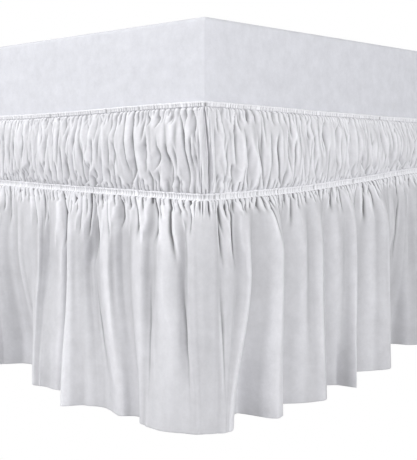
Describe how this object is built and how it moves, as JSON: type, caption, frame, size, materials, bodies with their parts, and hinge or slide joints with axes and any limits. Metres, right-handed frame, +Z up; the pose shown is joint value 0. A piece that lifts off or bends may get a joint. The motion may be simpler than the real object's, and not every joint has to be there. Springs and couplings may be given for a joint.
{
  "type": "bed skirt on a bed base",
  "caption": "Gathered wrap-round bed skirt with elastics, a puffed shirred band and a full ruffle, on a plain box bed base with turned legs.",
  "frame": {"origin": "on the floor, under the middle of the bed base", "axes": "+Z up, +X across the bed, +Y along the bed from the foot end to the head end"},
  "size_m": [0.9974, 2.0413, 0.51],
  "materials": {
    "skirt_cotton": "matt pale grey-white brushed microfibre or cotton, fine plain weave, shirred and gathered",
    "skirt_elastic": "matt pale grey woven elastic sewn along both edges",
    "base_cover": "matt white woven cover stretched over the base",
    "leg_wood": "plain oiled beech, satin"
  },
  "bodies": {
    "root": {"bed_base": "base_cover", "leg_front_left": "leg_wood", "leg_front_right": "leg_wood", "leg_rear_left": "leg_wood", "leg_rear_right": "leg_wood", "elastic_upper": "skirt_elastic", "elastic_lower": "skirt_elastic", "band_front": "skirt_cotton", "band_rear": "skirt_cotton", "ruffle_front": "skirt_cotton", "ruffle_rear": "skirt_cotton"}
  },
  "joints": []
}
